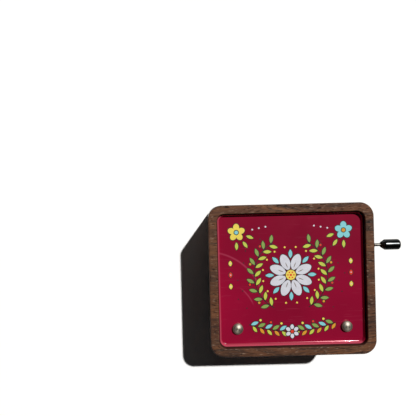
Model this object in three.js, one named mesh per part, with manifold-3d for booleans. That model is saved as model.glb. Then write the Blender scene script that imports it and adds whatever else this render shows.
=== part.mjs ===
import * as THREE from "three";
import { mergeVertices } from "three/addons/utils/BufferGeometryUtils.js";
import Module from "manifold-3d";

// A small hand-cranked music box in a walnut case, in millimetres, with +Z up.
// It lies on its wooden back. The origin is the middle of that back face, +X is the crank's side,
// and +Y is the far edge of the printed tray, with the mount screws near the other edge.

// Fits
const seatGap = 0.2; // between two faces that rest on each other
const pressGap = 0.1; // round a shank or sleeve that stays put in its hole
const runningGap = 0.12; // round a shaft that turns in its hole
const meshGap = 0.3; // between a comb tip and the pins that pass it
const sideClearance = 1; // from a moving piece or a screw to the frame beside it
const overrun = 1; // how far a cut runs past the face it opens

// Case: one routed block
const caseLength = 64;
const caseWidth = 58.6;
const caseThickness = 40;
const caseCornerRadius = 5.4;
const backEdgeRadius = 4.8;
const frontEdgeChamfer = 0.7;
const rimWall = 3.4;
const rimCornerRadius = 3;
const sideWall = 5.1;
const chamberCornerRadius = 4.2;
const backThickness = 5;

// Tray: pressed sheet, let into the front of the case
const traySheet = 0.35;
const trayDepth = 3; // from the case's front face down to the tray's floor
const trayLip = 1.1; // how far the rim stays below the case's front face
const trayFit = 0.15; // all round, between the tray and the case
const trayCornerRadius = 2.8;
const trayBendRadius = 1.2;

// Mount screws: through the tray into the bedplate
const mountScrewSideInset = 10.7; // from the case's left and right sides
const mountScrewInset = 10.3; // from the case's near side
const mountHeadDiameter = 4.6;
const mountHeadHeight = 1.35;
const mountShankDiameter = 2.4;
const mountShankLength = 3;
const crossLength = 2.2;
const crossWidth = 0.55;
const crossDepth = 0.6;

// Crank line
const shaftInset = 12.4; // from the chamber's far wall
const shaftZ = 17.5;
const shaftDiameter = 3;
const shaftNeckDiameter = 2.4; // where it carries the worm
const shaftGrip = 3.2; // how far it reaches into the crank's hub

// Wall bush
const bushFlangeDiameter = 9.3;
const bushFaceDiameter = 7.4;
const bushFlangeHeight = 0.8;
const bushBarrelDiameter = 6.2;

// Crank
const armLength = 12.5;
const armHubWidth = 4;
const armTipWidth = 3.4;
const armHubHeight = 4.5;
const armStrapHeight = 2.3;
const armChamfer = 0.45;
const pinDiameter = 1.2;
const pinNeck = 2.8; // bare pin between the arm and the knob
const pinReach = 5.2; // how far it goes into the knob
const knobDiameter = 4.2;
const knobLength = 7.7;
const knobConeLength = 1.6;
const knobConeDiameter = 2.2;
const knobEndRadius = 0.9;

// Gearing
const gearModule = 0.8;
const wheelTeeth = 16;
const wheelWidth = 3.5;
const wormPitchDiameter = 6;
const wormLength = 11;

// Cylinder and comb
const cylinderInset = 16.9; // from the chamber's crank-side wall
const cylinderDiameter = 12.4;
const cylinderWall = 0.7;
const wheelSpacing = 1.65; // from the cylinder's end to the wheel
const pinHeight = 0.8;
const pinThickness = 0.45;
const arborDiameter = 2.4;
const combTeeth = 18;
const combMargin = 0.65; // from the comb's edges to the cylinder's ends
const combSlot = 0.3;
const combToothThickness = 0.8;
const combRootThickness = 1.6;
const combRootLength = 7.6;
const combInset = 3.1; // from the bedplate's edge
const combWeightLength = 3.2;
const combWeightHeight = 1.3;

// Movement's frame
const bedSideClearance = 1.9; // to the chamber's left and right walls
const bedFarClearance = 2.4; // to the chamber's far wall
const bedThickness = 2;
const bedCornerRadius = 3;
const bedBossDiameter = 6;
const bedBossHeight = 0.6;
const bracketThickness = 2;
const bracketScrewHead = 3.6;
const bracketScrewHeadHeight = 1.1;
const bracketScrewShank = 1.8;
const footThickness = 1.8;
const footLength = 4.4;
const footInset = 1.6; // from the tail bracket's foot to the bedplate's edge
const earThickness = 2;
const clipThickness = 0.8;
const clipDiameter = 5.2;

// Numbers of facets and steps
const roundSides = 32;
const smallSides = 20;
const cornerSteps = 4;
const edgeSteps = 4;
const threadSteps = 18;
const tuneBeats = 40;
const silentBeats = 4;

// Shares
const weightedShare = 0.5; // of the teeth, from the low notes up, that carry a weight
const toothShare = 0.4; // of the pitch, so that a worm and its wheel have play
const addendumShare = 1; // of the module
const dedendumShare = 1.25;
const hubShare = 0.42; // the wheel's hub, of its pitch diameter
const headCrownShare = 0.62; // a domed head's rim, of its height
const headFlatShare = 0.25; // a domed head's flat top, of its diameter
const shortToothShare = 0.62; // the highest note's tooth, of the lowest one's
const combScrewShare = 0.58; // the comb screws' spacing, of the comb's width
const tuneRiseShare = 0.55; // where the pinned tune sits among the teeth
const tuneSwingShare = 0.42;
const bassShare = 0.22;

// Worked-out places
const frontZ = caseThickness;
const wallX = caseLength / 2;
const nearY = -caseWidth / 2;
const trayFloorZ = frontZ - trayDepth;
const ledgeZ = trayFloorZ - traySheet - seatGap;
const chamberX = wallX - sideWall;
const chamberY = caseWidth / 2 - sideWall;
const bossTopZ = trayFloorZ - traySheet - seatGap;
const bedTopZ = bossTopZ - bedBossHeight;
const bedBottomZ = bedTopZ - bedThickness;
const mountScrewX = wallX - mountScrewSideInset;
const mountScrewY = nearY + mountScrewInset;
const bedLength = 2 * (chamberX - bedSideClearance);
const bedNearY = mountScrewY - bedBossDiameter / 2 - sideClearance;
const bedFarY = chamberY - bedFarClearance;
const shaftY = chamberY - shaftInset;
const cylinderX = chamberX - cylinderInset;
const wheelPitchRadius = gearModule * wheelTeeth / 2;
const wormPitchRadius = wormPitchDiameter / 2;
const cylinderZ = shaftZ + wormPitchRadius + wheelPitchRadius;
const wheelTipRadius = wheelPitchRadius + gearModule * addendumShare;
const wheelRootRadius = wheelPitchRadius - gearModule * dedendumShare;
const wormTipRadius = wormPitchRadius + gearModule * addendumShare;
const wormRootRadius = wormPitchRadius - gearModule * dedendumShare;
const axialPitch = Math.PI * gearModule;
const leadAngle = Math.atan(axialPitch / (2 * Math.PI * wormPitchRadius));
const pressureAngle = THREE.MathUtils.degToRad(20);
const cylinderRadius = cylinderDiameter / 2;
const pinTipRadius = cylinderRadius + pinHeight;
const tailPlateY = bedNearY + footInset + footLength + bracketThickness / 2;
const cylinderTailY = tailPlateY + bracketThickness / 2 + sideClearance;
const cylinderGearY = shaftY - wheelWidth / 2 - wheelSpacing;
const cylinderMiddleY = (cylinderTailY + cylinderGearY) / 2;
const combWidth = cylinderGearY - cylinderTailY - 2 * combMargin;
const combPitch = combWidth / combTeeth;
const combTipX = cylinderX - pinTipRadius - meshGap;
const combBackX = combInset - bedLength / 2;
const combRootX = combBackX + combRootLength;
const bridgePlateY = shaftY + wheelWidth / 2 + sideClearance + bracketThickness / 2;
const earMiddle = (wormLength + earThickness) / 2 + seatGap;
const bracketScrewZ = bedBottomZ - seatGap - footThickness;

const wasm = await Module();
wasm.setup();

// A closed geometry as a solid that can be joined and cut.
function solidOf(geometry) {
  geometry.deleteAttribute("normal");
  geometry.deleteAttribute("uv");
  const merged = mergeVertices(geometry);
  const vertProperties = merged.attributes.position.array;
  const triVerts = new Uint32Array(merged.index.array);
  return new wasm.Manifold(new wasm.Mesh({ numProp: 3, vertProperties, triVerts }));
}

function geometryOf(solid) {
  const { vertProperties, triVerts } = solid.getMesh();
  const geometry = new THREE.BufferGeometry();
  geometry.setAttribute("position", new THREE.BufferAttribute(vertProperties, 3));
  geometry.setIndex(new THREE.BufferAttribute(triVerts, 1));
  geometry.computeVertexNormals();
  return geometry;
}

function addPiece(group, name, solid, finish) {
  const mesh = new THREE.Mesh(geometryOf(solid), new THREE.MeshStandardMaterial(finish));
  mesh.name = name;
  group.add(mesh);
}

// A box from its low corner to its high corner.
function block(low, high) {
  const geometry = new THREE.BoxGeometry(high[0] - low[0], high[1] - low[1], high[2] - low[2]);
  const middle = low.map((value, i) => (value + high[i]) / 2);
  return solidOf(geometry.translate(...middle));
}

// Turns a geometry made along +Y so that it runs along an axis, then moves it to its middle.
function placeAlong(geometry, axis, middle) {
  if (axis === "x") geometry.rotateZ(-Math.PI / 2);
  if (axis === "z") geometry.rotateX(Math.PI / 2);
  return geometry.translate(...middle);
}

// A round bar along x, y or z, from one place on that axis to another, about a centre line.
function bar(axis, diameter, from, to, centre, sides = roundSides) {
  const radius = diameter / 2;
  const geometry = new THREE.CylinderGeometry(radius, radius, to - from, sides);
  const middle = [...centre];
  middle["xyz".indexOf(axis)] = (from + to) / 2;
  return solidOf(placeAlong(geometry, axis, middle));
}

// A turned piece: its profile is a list of [radius, place along the axis], rising along the axis.
function turned(axis, profile, centre, sides = roundSides) {
  const points = profile.map(([radius, along]) => new THREE.Vector2(radius, along));
  return solidOf(placeAlong(new THREE.LatheGeometry(points, sides), axis, centre));
}

// The outline of a rectangle with round corners, as [x, y] points in order.
function roundedOutline(halfX, halfY, radius) {
  const points = [];
  for (let corner = 0; corner < 4; corner++) {
    const turn = corner * (Math.PI / 2);
    const signX = corner === 0 || corner === 3 ? 1 : -1;
    const signY = corner < 2 ? 1 : -1;
    for (let step = 0; step <= cornerSteps; step++) {
      const angle = turn + (step / cornerSteps) * (Math.PI / 2);
      const x = signX * (halfX - radius) + radius * Math.cos(angle);
      const y = signY * (halfY - radius) + radius * Math.sin(angle);
      points.push([x, y]);
    }
  }
  return points;
}

// A solid through rings of one outline that draws in or out. Each ring is [inset, z], and the
// first and last ring are closed with flat faces.
function ringSolid(halfX, halfY, radius, rings) {
  const positions = [];
  const faces = [];
  for (const [inset, z] of rings) {
    const outline = roundedOutline(halfX - inset, halfY - inset, radius - inset);
    for (const [x, y] of outline) positions.push(x, y, z);
  }
  const count = positions.length / 3 / rings.length;
  for (let ring = 0; ring < rings.length - 1; ring++) {
    for (let i = 0; i < count; i++) {
      const low = ring * count + i;
      const lowNext = ring * count + ((i + 1) % count);
      faces.push(low, lowNext, lowNext + count);
      faces.push(low, lowNext + count, low + count);
    }
  }
  const last = (rings.length - 1) * count;
  for (let i = 1; i < count - 1; i++) {
    faces.push(0, i + 1, i);
    faces.push(last, last + i, last + i + 1);
  }
  const geometry = new THREE.BufferGeometry();
  geometry.setAttribute("position", new THREE.Float32BufferAttribute(positions, 3));
  geometry.setIndex(faces);
  return solidOf(geometry);
}

// A flat plate with round corners, its middle at x, y.
function roundedPlate(sizeX, sizeY, radius, lowZ, highZ, middleX = 0, middleY = 0) {
  const shape = new THREE.Shape();
  shape.setFromPoints(
    roundedOutline(sizeX / 2, sizeY / 2, radius).map(([x, y]) => new THREE.Vector2(x, y)),
  );
  const geometry = new THREE.ExtrudeGeometry(shape, { depth: highZ - lowZ, bevelEnabled: false });
  return solidOf(geometry.translate(middleX, middleY, lowZ));
}

// A quarter round from one ring to another, as [inset, z] steps: it leaves at insetFrom and zFrom,
// along the inset first or along z first.
function quarter(insetFrom, zFrom, insetTo, zTo, insetFirst) {
  const steps = [];
  for (let step = 0; step <= edgeSteps; step++) {
    const angle = (step / edgeSteps) * (Math.PI / 2);
    const early = Math.sin(angle);
    const late = 1 - Math.cos(angle);
    const insetPart = insetFirst ? early : late;
    const zPart = insetFirst ? late : early;
    steps.push([insetFrom + (insetTo - insetFrom) * insetPart, zFrom + (zTo - zFrom) * zPart]);
  }
  return steps;
}

const walnut = { color: 0x5a3524, roughness: 0.5, metalness: 0 };
const redPaint = { color: 0x98142f, roughness: 0.2, metalness: 0.1 };
const steel = { color: 0x8f8c88, roughness: 0.35, metalness: 1 };
const castZinc = { color: 0x9a9c9e, roughness: 0.5, metalness: 0.9 };
const nickel = { color: 0xb9b8b4, roughness: 0.2, metalness: 1 };
const darkNickel = { color: 0x34323a, roughness: 0.15, metalness: 1 };
const brass = { color: 0xb8923f, roughness: 0.35, metalness: 1 };

const musicBox = new THREE.Group();

// Case: a block with round corners, a round back edge and a light chamfer at the front.
// The chamber and the tray's recess are routed from the front, and the bush's hole goes through
// the crank's wall.
function makeCase() {
  const rings = [...quarter(backEdgeRadius, 0, 0, backEdgeRadius, true)];
  rings.push([0, frontZ - frontEdgeChamfer], [frontEdgeChamfer, frontZ]);
  const outside = ringSolid(wallX, caseWidth / 2, caseCornerRadius, rings);
  const chamber = roundedPlate(2 * chamberX, 2 * chamberY, chamberCornerRadius, backThickness, frontZ);
  const recessX = caseLength - 2 * rimWall;
  const recessY = caseWidth - 2 * rimWall;
  const recess = roundedPlate(recessX, recessY, rimCornerRadius, ledgeZ, frontZ + overrun);
  const hole = bushBarrelDiameter + 2 * pressGap;
  const bushHole = bar("x", hole, chamberX - overrun, wallX + overrun, [0, shaftY, shaftZ]);
  return outside.subtract(chamber).subtract(recess).subtract(bushHole);
}

// Tray: a flat floor, a bend and an upturned rim, all of one sheet.
function makeTray() {
  const halfX = wallX - rimWall - trayFit;
  const halfY = caseWidth / 2 - rimWall - trayFit;
  const lowZ = trayFloorZ - traySheet;
  const topZ = frontZ - trayLip;
  const innerBend = trayBendRadius - traySheet;
  const rings = [
    ...quarter(trayBendRadius, lowZ, 0, lowZ + trayBendRadius, true),
    [0, topZ - traySheet / 2],
    [traySheet / 2, topZ],
    [traySheet, topZ - traySheet / 2],
    ...quarter(traySheet, trayFloorZ + innerBend, traySheet + innerBend, trayFloorZ, false),
  ];
  let tray = ringSolid(halfX, halfY, trayCornerRadius, rings);
  for (const side of [-1, 1]) {
    const hole = mountShankDiameter + 2 * seatGap;
    const centre = [side * mountScrewX, mountScrewY, 0];
    tray = tray.subtract(bar("z", hole, lowZ - overrun, trayFloorZ + overrun, centre, smallSides));
  }
  return tray;
}

// A screw along z whose head looks up or down, from its seat.
function screw(x, y, seatZ, headUp, head, headHeight, shank, shankLength) {
  const way = headUp ? 1 : -1;
  const radius = head / 2;
  const profile = [
    [0, -shankLength],
    [shank / 2, -shankLength],
    [shank / 2, 0],
    [radius, 0],
    [radius, headHeight * (1 - headCrownShare)],
    [radius * Math.cos(Math.PI / 6), headHeight * (1 - headCrownShare / 2)],
    [head * headFlatShare, headHeight],
    [0, headHeight],
  ];
  const points = profile.map(([r, along]) => new THREE.Vector2(r, along));
  const geometry = new THREE.LatheGeometry(points, smallSides);
  geometry.rotateX(way * (Math.PI / 2));
  return solidOf(geometry.translate(x, y, seatZ));
}

// Two crossed slots in the top of a domed head.
function crossCut(x, y, topZ) {
  const long = crossLength / 2;
  const short = crossWidth / 2;
  const lowZ = topZ - crossDepth;
  const highZ = topZ + overrun;
  const along = block([x - long, y - short, lowZ], [x + long, y + short, highZ]);
  return along.add(block([x - short, y - long, lowZ], [x + short, y + long, highZ]));
}

function makeMountScrew(side) {
  const x = side * mountScrewX;
  const seatZ = trayFloorZ + seatGap;
  const sizes = [mountHeadDiameter, mountHeadHeight, mountShankDiameter, mountShankLength + seatGap];
  const slots = crossCut(x, mountScrewY, seatZ + mountHeadHeight);
  return screw(x, mountScrewY, seatZ, true, ...sizes).subtract(slots);
}

// Bush: a barrel in the wall and a low coned flange on its outside.
function makeBush() {
  const seatX = wallX + seatGap;
  const bore = shaftDiameter / 2 + runningGap;
  const profile = [
    [bore, chamberX + seatGap],
    [bushBarrelDiameter / 2, chamberX + seatGap],
    [bushBarrelDiameter / 2, seatX],
    [bushFlangeDiameter / 2, seatX],
    [bushFlangeDiameter / 2, seatX + bushFlangeHeight / 2],
    [bushFaceDiameter / 2, seatX + bushFlangeHeight],
    [bore, seatX + bushFlangeHeight],
    [bore, chamberX + seatGap],
  ];
  return turned("x", profile, [0, shaftY, shaftZ]);
}

// Places of the small screws, shared by the bedplate and by what they hold.
const combMiddleX = combBackX + combRootLength / 2;
const combTopZ = cylinderZ + combToothThickness / 2;
const combScrewReach = (combWidth * combScrewShare) / 2;
const combScrews = [-1, 1].map((side) => [combMiddleX, cylinderMiddleY + side * combScrewReach]);
const bracketScrewX = bracketScrewHead / 2 + sideClearance;
const bridgeFootY = bridgePlateY + (bracketThickness + footLength) / 2;
const tailFootY = tailPlateY - (bracketThickness + footLength) / 2;
const bridgeScrews = [-1, 1].map((side) => [cylinderX + side * bracketScrewX, bridgeFootY]);
const tailScrews = [-1, 1].map((side) => [cylinderX + side * bracketScrewX, tailFootY]);

// Bedplate: a flat plate with a window over the cylinder, bosses under the tray for the mount
// screws, and a seat that brings the comb level with the arbor.
function makeBedplate() {
  const bedWidth = bedFarY - bedNearY;
  const bedMiddleY = (bedFarY + bedNearY) / 2;
  let plate = roundedPlate(bedLength, bedWidth, bedCornerRadius, bedBottomZ, bedTopZ, 0, bedMiddleY);
  const seatLow = combTopZ + seatGap;
  const seatFrom = [combBackX, cylinderMiddleY - combWidth / 2, seatLow];
  const seatTo = [combRootX, cylinderMiddleY + combWidth / 2, bedTopZ];
  plate = plate.add(block(seatFrom, seatTo));
  const bosses = [-1, 1].map((side) => [side * mountScrewX, mountScrewY]);
  for (const [x, y] of bosses) {
    plate = plate.add(bar("z", bedBossDiameter, bedBottomZ, bossTopZ, [x, y, 0], smallSides));
  }
  const windowHalf = wheelTipRadius + sideClearance;
  const windowFrom = cylinderTailY - sideClearance / 2;
  const windowTo = shaftY + wheelWidth / 2 + sideClearance / 2;
  const windowLow = [cylinderX - windowHalf, windowFrom, bedBottomZ - overrun];
  const windowHigh = [cylinderX + windowHalf, windowTo, bedTopZ + overrun];
  plate = plate.subtract(block(windowLow, windowHigh));
  for (const [x, y] of bosses) plate = plate.subtract(screwHole(x, y, mountShankDiameter));
  for (const [x, y] of [...combScrews, ...bridgeScrews, ...tailScrews]) {
    plate = plate.subtract(screwHole(x, y, bracketScrewShank));
  }
  return plate;
}

// A hole through everything that lies between the comb and the tray.
function screwHole(x, y, shank) {
  const lowZ = combTopZ - combRootThickness - overrun;
  return bar("z", shank + 2 * pressGap, lowZ, bossTopZ + overrun, [x, y, 0], smallSides);
}

// Gear bridge: an upright plate behind the wheel, two ears that hold the worm shaft, and a foot
// screwed to the bedplate.
function makeBridge() {
  const topZ = bedBottomZ - seatGap;
  const lowZ = shaftZ - wormTipRadius;
  const halfX = earMiddle + earThickness / 2;
  const frontY = bridgePlateY - bracketThickness / 2;
  const backY = bridgePlateY + bracketThickness / 2;
  const earTopZ = shaftZ + shaftDiameter + bracketThickness / 2;
  let bridge = block([cylinderX - halfX, frontY, lowZ], [cylinderX + halfX, backY, topZ]);
  for (const side of [-1, 1]) {
    const middle = cylinderX + side * earMiddle;
    const low = middle - earThickness / 2;
    const high = middle + earThickness / 2;
    const earFrontY = shaftY - shaftDiameter;
    bridge = bridge.add(block([low, earFrontY, lowZ], [high, backY, earTopZ]));
  }
  const foot = [cylinderX - halfX, frontY, topZ - footThickness];
  bridge = bridge.add(block(foot, [cylinderX + halfX, backY + footLength, topZ]));
  const wide = shaftDiameter + 2 * runningGap;
  const narrow = shaftNeckDiameter + 2 * runningGap;
  const line = [0, shaftY, shaftZ];
  bridge = bridge.subtract(bar("x", wide, cylinderX, cylinderX + halfX + overrun, line));
  bridge = bridge.subtract(bar("x", narrow, cylinderX - halfX - overrun, cylinderX, line));
  const betweenEars = earMiddle - earThickness / 2;
  const relief = 2 * (wormTipRadius + meshGap);
  bridge = bridge.subtract(bar("x", relief, cylinderX - betweenEars, cylinderX + betweenEars, line));
  const arborHole = arborDiameter + 2 * runningGap;
  const arborLine = [cylinderX, 0, cylinderZ];
  bridge = bridge.subtract(bar("y", arborHole, frontY - overrun, backY + overrun, arborLine, smallSides));
  for (const [x, y] of bridgeScrews) bridge = bridge.subtract(screwHole(x, y, bracketScrewShank));
  return bridge;
}

// Tail bracket: an upright plate and a foot, at the cylinder's other end.
function makeTailBracket() {
  const topZ = bedBottomZ - seatGap;
  const halfX = bracketScrewX + bracketScrewHead / 2 + seatGap;
  const frontY = tailPlateY + bracketThickness / 2;
  const backY = tailPlateY - bracketThickness / 2;
  const lowZ = cylinderZ - arborDiameter - bracketThickness / 2;
  let bracket = block([cylinderX - halfX, backY, lowZ], [cylinderX + halfX, frontY, topZ]);
  const foot = [cylinderX - halfX, backY - footLength, topZ - footThickness];
  bracket = bracket.add(block(foot, [cylinderX + halfX, frontY, topZ]));
  const arborHole = arborDiameter + 2 * runningGap;
  const arborLine = [cylinderX, 0, cylinderZ];
  bracket = bracket.subtract(bar("y", arborHole, backY - overrun, frontY + overrun, arborLine, smallSides));
  for (const [x, y] of tailScrews) bracket = bracket.subtract(screwHole(x, y, bracketScrewShank));
  return bracket;
}

// A screw from below, through a foot into the bedplate.
function makeBracketScrew([x, y]) {
  const seatZ = bracketScrewZ - seatGap;
  const length = footThickness + bedThickness + 2 * seatGap;
  return screw(x, y, seatZ, false, bracketScrewHead, bracketScrewHeadHeight, bracketScrewShank, length);
}

// Cylinder: a tube, with a pin for each note. The tune is a wandering line of single notes with
// a low note every fourth beat, and the last beats are silent, where the tune starts over.
function makeCylinder() {
  const wall = cylinderRadius - cylinderWall;
  const profile = [
    [wall, cylinderTailY],
    [cylinderRadius, cylinderTailY],
    [cylinderRadius, cylinderGearY],
    [wall, cylinderGearY],
    [wall, cylinderTailY],
  ];
  let cylinder = turned("y", profile, [0, 0, 0], 2 * smallSides);
  const half = pinThickness / 2;
  const pinRoot = cylinderRadius - cylinderWall / 2;
  for (let beat = 0; beat < tuneBeats - silentBeats; beat++) {
    const swing = Math.sin((beat / tuneBeats) * 6 * Math.PI) * tuneSwingShare;
    const tracks = [Math.round((combTeeth - 1) * (tuneRiseShare + swing))];
    if (beat % 4 === 0) tracks.push(Math.round((combTeeth - 1) * bassShare * Math.cos(beat) ** 2));
    for (const track of new Set(tracks)) {
      const y = cylinderMiddleY + (track - (combTeeth - 1) / 2) * combPitch;
      const pin = new THREE.BoxGeometry(pinTipRadius - pinRoot, pinThickness, pinThickness);
      pin.translate((pinTipRadius + pinRoot) / 2, y, 0);
      pin.rotateY(((beat + silentBeats / 2) / tuneBeats) * 2 * Math.PI + Math.PI + half / pinTipRadius);
      cylinder = cylinder.add(solidOf(pin));
    }
  }
  return cylinder;
}

// A plug between the arbor and one end of the tube.
function makePlug(fromY, toY) {
  const outer = cylinderRadius - cylinderWall - pressGap;
  const inner = arborDiameter / 2 + pressGap;
  const profile = [
    [inner, fromY],
    [outer, fromY],
    [outer, toY],
    [inner, toY],
    [inner, fromY],
  ];
  return turned("y", profile, [0, 0, 0]);
}

function makeArbor() {
  const tailEnd = tailPlateY - bracketThickness / 2 - seatGap;
  const gearEnd = bridgePlateY + bracketThickness / 2 + seatGap;
  return bar("y", arborDiameter, tailEnd, gearEnd, [0, 0, 0], smallSides);
}

// Worm wheel: straight-flanked teeth, slanted to follow the worm's thread, and a hub that
// reaches to the cylinder. A gap between teeth faces the worm at rest.
function makeWheel() {
  const pitchAngle = (2 * Math.PI) / wheelTeeth;
  const halfTooth = pitchAngle * toothShare / 2;
  const slope = Math.tan(pressureAngle) / wheelPitchRadius;
  const points = [];
  for (let tooth = 0; tooth < wheelTeeth; tooth++) {
    const middle = -Math.PI / 2 + (tooth + 0.5) * pitchAngle;
    const rootHalf = halfTooth + (wheelPitchRadius - wheelRootRadius) * slope;
    const tipHalf = halfTooth - (wheelTipRadius - wheelPitchRadius) * slope;
    const corners = [
      [wheelRootRadius, -rootHalf],
      [wheelTipRadius, -tipHalf],
      [wheelTipRadius, tipHalf],
      [wheelRootRadius, rootHalf],
    ];
    for (const [radius, offset] of corners) {
      const angle = middle + offset;
      points.push(new THREE.Vector2(radius * Math.cos(angle), radius * Math.sin(angle)));
    }
  }
  const steps = 2;
  const outline = new THREE.Shape(points);
  const geometry = new THREE.ExtrudeGeometry(outline, { depth: wheelWidth, steps, bevelEnabled: false });
  const position = geometry.getAttribute("position");
  for (let i = 0; i < position.count; i++) {
    const along = position.getZ(i) - wheelWidth / 2;
    const twist = (Math.tan(leadAngle) * along) / wheelPitchRadius;
    const point = new THREE.Vector2(position.getX(i), position.getY(i));
    point.rotateAround(new THREE.Vector2(), twist);
    position.setXYZ(i, point.x, point.y, along);
  }
  geometry.rotateX(Math.PI / 2).translate(0, shaftY, 0);
  const hubFrom = cylinderGearY + seatGap;
  const hub = bar("y", 2 * wheelPitchRadius * hubShare, hubFrom, shaftY, [0, 0, 0]);
  const bore = arborDiameter + 2 * pressGap;
  const boreEnd = shaftY + wheelWidth;
  const hole = bar("y", bore, hubFrom - overrun, boreEnd, [0, 0, 0], smallSides);
  return solidOf(geometry).add(hub).subtract(hole);
}

// Comb: one plate. Its teeth are cut deeper towards the low notes, and the low ones carry
// weights under their tips.
function makeComb() {
  const longTooth = combTipX - combRootX;
  const lowY = cylinderMiddleY - combWidth / 2;
  const highY = cylinderMiddleY + combWidth / 2;
  const toothLowZ = combTopZ - combToothThickness;
  let comb = block([combBackX, lowY, combTopZ - combRootThickness], [combRootX, highY, combTopZ]);
  comb = comb.add(block([combMiddleX, lowY, toothLowZ], [combTipX, highY, combTopZ]));
  for (let tooth = 0; tooth < combTeeth; tooth++) {
    const rise = tooth / (combTeeth - 1);
    const length = longTooth * (1 - (1 - shortToothShare) * rise);
    const edgeY = lowY + tooth * combPitch;
    const from = edgeY - combSlot / 2;
    const to = edgeY + combSlot / 2;
    const cutLow = [combTipX - length, from, toothLowZ - overrun];
    if (tooth > 0) comb = comb.subtract(block(cutLow, [combTipX + overrun, to, combTopZ + overrun]));
    if (rise < weightedShare) {
      const weightLowZ = toothLowZ - combWeightHeight * (1 - rise);
      const weightFrom = [combTipX - combWeightLength, edgeY + combSlot, weightLowZ];
      const weightHighZ = toothLowZ + combToothThickness / 2;
      const weightTo = [combTipX - sideClearance, edgeY + combPitch - combSlot, weightHighZ];
      comb = comb.add(block(weightFrom, weightTo));
    }
  }
  for (const [x, y] of combScrews) comb = comb.subtract(screwHole(x, y, bracketScrewShank));
  return comb;
}

function makeCombScrew([x, y]) {
  const seatZ = combTopZ - combRootThickness - seatGap;
  const length = combRootThickness + bedThickness + 2 * seatGap;
  return screw(x, y, seatZ, false, bracketScrewHead, bracketScrewHeadHeight, bracketScrewShank, length);
}

// Shaft: thick from the crank to the worm, thinner through the worm and the far ear. Its own
// line is the x axis of the crank's group.
const armInnerX = wallX + 2 * seatGap + bushFlangeHeight;
const wormFrom = cylinderX - wormLength / 2;
const wormTo = cylinderX + wormLength / 2;
const clipFrom = cylinderX - earMiddle - earThickness / 2 - seatGap - clipThickness;

function makeShaft() {
  const thick = shaftDiameter / 2;
  const thin = shaftNeckDiameter / 2;
  const profile = [
    [0, clipFrom - clipThickness],
    [thin, clipFrom - clipThickness],
    [thin, wormTo + seatGap],
    [thick, wormTo + seatGap],
    [thick, armInnerX + shaftGrip],
    [0, armInnerX + shaftGrip],
  ];
  return turned("x", profile, [0, 0, 0]);
}

// Worm: a root sleeve on the shaft, and one right-hand thread wound round it, cut off square
// at both ends. The thread stands midway between two wheel teeth at rest.
function makeWorm() {
  const tooth = axialPitch * toothShare / 2;
  const slope = Math.tan(pressureAngle);
  const buried = wormRootRadius - (wormRootRadius - shaftNeckDiameter / 2) / 2;
  const tipHalf = tooth - (wormTipRadius - wormPitchRadius) * slope;
  const rootHalf = tooth + (wormPitchRadius - buried) * slope;
  const section = [
    [buried, -rootHalf],
    [wormTipRadius, -tipHalf],
    [wormTipRadius, tipHalf],
    [buried, rootHalf],
  ];
  const turns = wormLength / axialPitch + 1;
  const count = Math.ceil(turns) * threadSteps;
  const positions = [];
  const faces = [];
  for (let step = 0; step <= count; step++) {
    const winding = step / threadSteps - Math.ceil(turns) / 2;
    const angle = winding * 2 * Math.PI + Math.PI / 2;
    for (const [radius, offset] of section) {
      const x = cylinderX + winding * axialPitch + offset;
      positions.push(x, radius * Math.cos(angle), radius * Math.sin(angle));
    }
  }
  const corners = section.length;
  for (let step = 0; step < count; step++) {
    for (let i = 0; i < corners; i++) {
      const here = step * corners + i;
      const side = step * corners + ((i + 1) % corners);
      faces.push(here, side + corners, side);
      faces.push(here, here + corners, side + corners);
    }
  }
  const end = count * corners;
  faces.push(0, 1, 2, 0, 2, 3);
  faces.push(end, end + 2, end + 1, end, end + 3, end + 2);
  const geometry = new THREE.BufferGeometry();
  geometry.setAttribute("position", new THREE.Float32BufferAttribute(positions, 3));
  geometry.setIndex(faces);
  const thread = solidOf(geometry);
  const sleeve = bar("x", 2 * wormRootRadius, wormFrom, wormTo, [0, 0, 0]);
  const trim = bar("x", 2 * (wormTipRadius + overrun), wormFrom, wormTo, [0, 0, 0]);
  const bore = shaftNeckDiameter + 2 * pressGap;
  const hole = bar("x", bore, wormFrom - overrun, wormTo + overrun, [0, 0, 0]);
  return thread.intersect(trim).add(sleeve).subtract(hole);
}

// Clip: a ring in front of the far ear, open at one side.
function makeClip() {
  const clipTo = clipFrom + clipThickness;
  const inner = shaftNeckDiameter + 2 * pressGap;
  const ring = bar("x", clipDiameter, clipFrom, clipTo, [0, 0, 0], smallSides);
  const hole = bar("x", inner, clipFrom - overrun, clipTo + overrun, [0, 0, 0], smallSides);
  const slit = shaftNeckDiameter / 2;
  const slitLow = [clipFrom - overrun, -slit / 2, 0];
  const slitHigh = [clipTo + overrun, slit / 2, clipDiameter];
  return ring.subtract(hole).subtract(block(slitLow, slitHigh));
}

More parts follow.
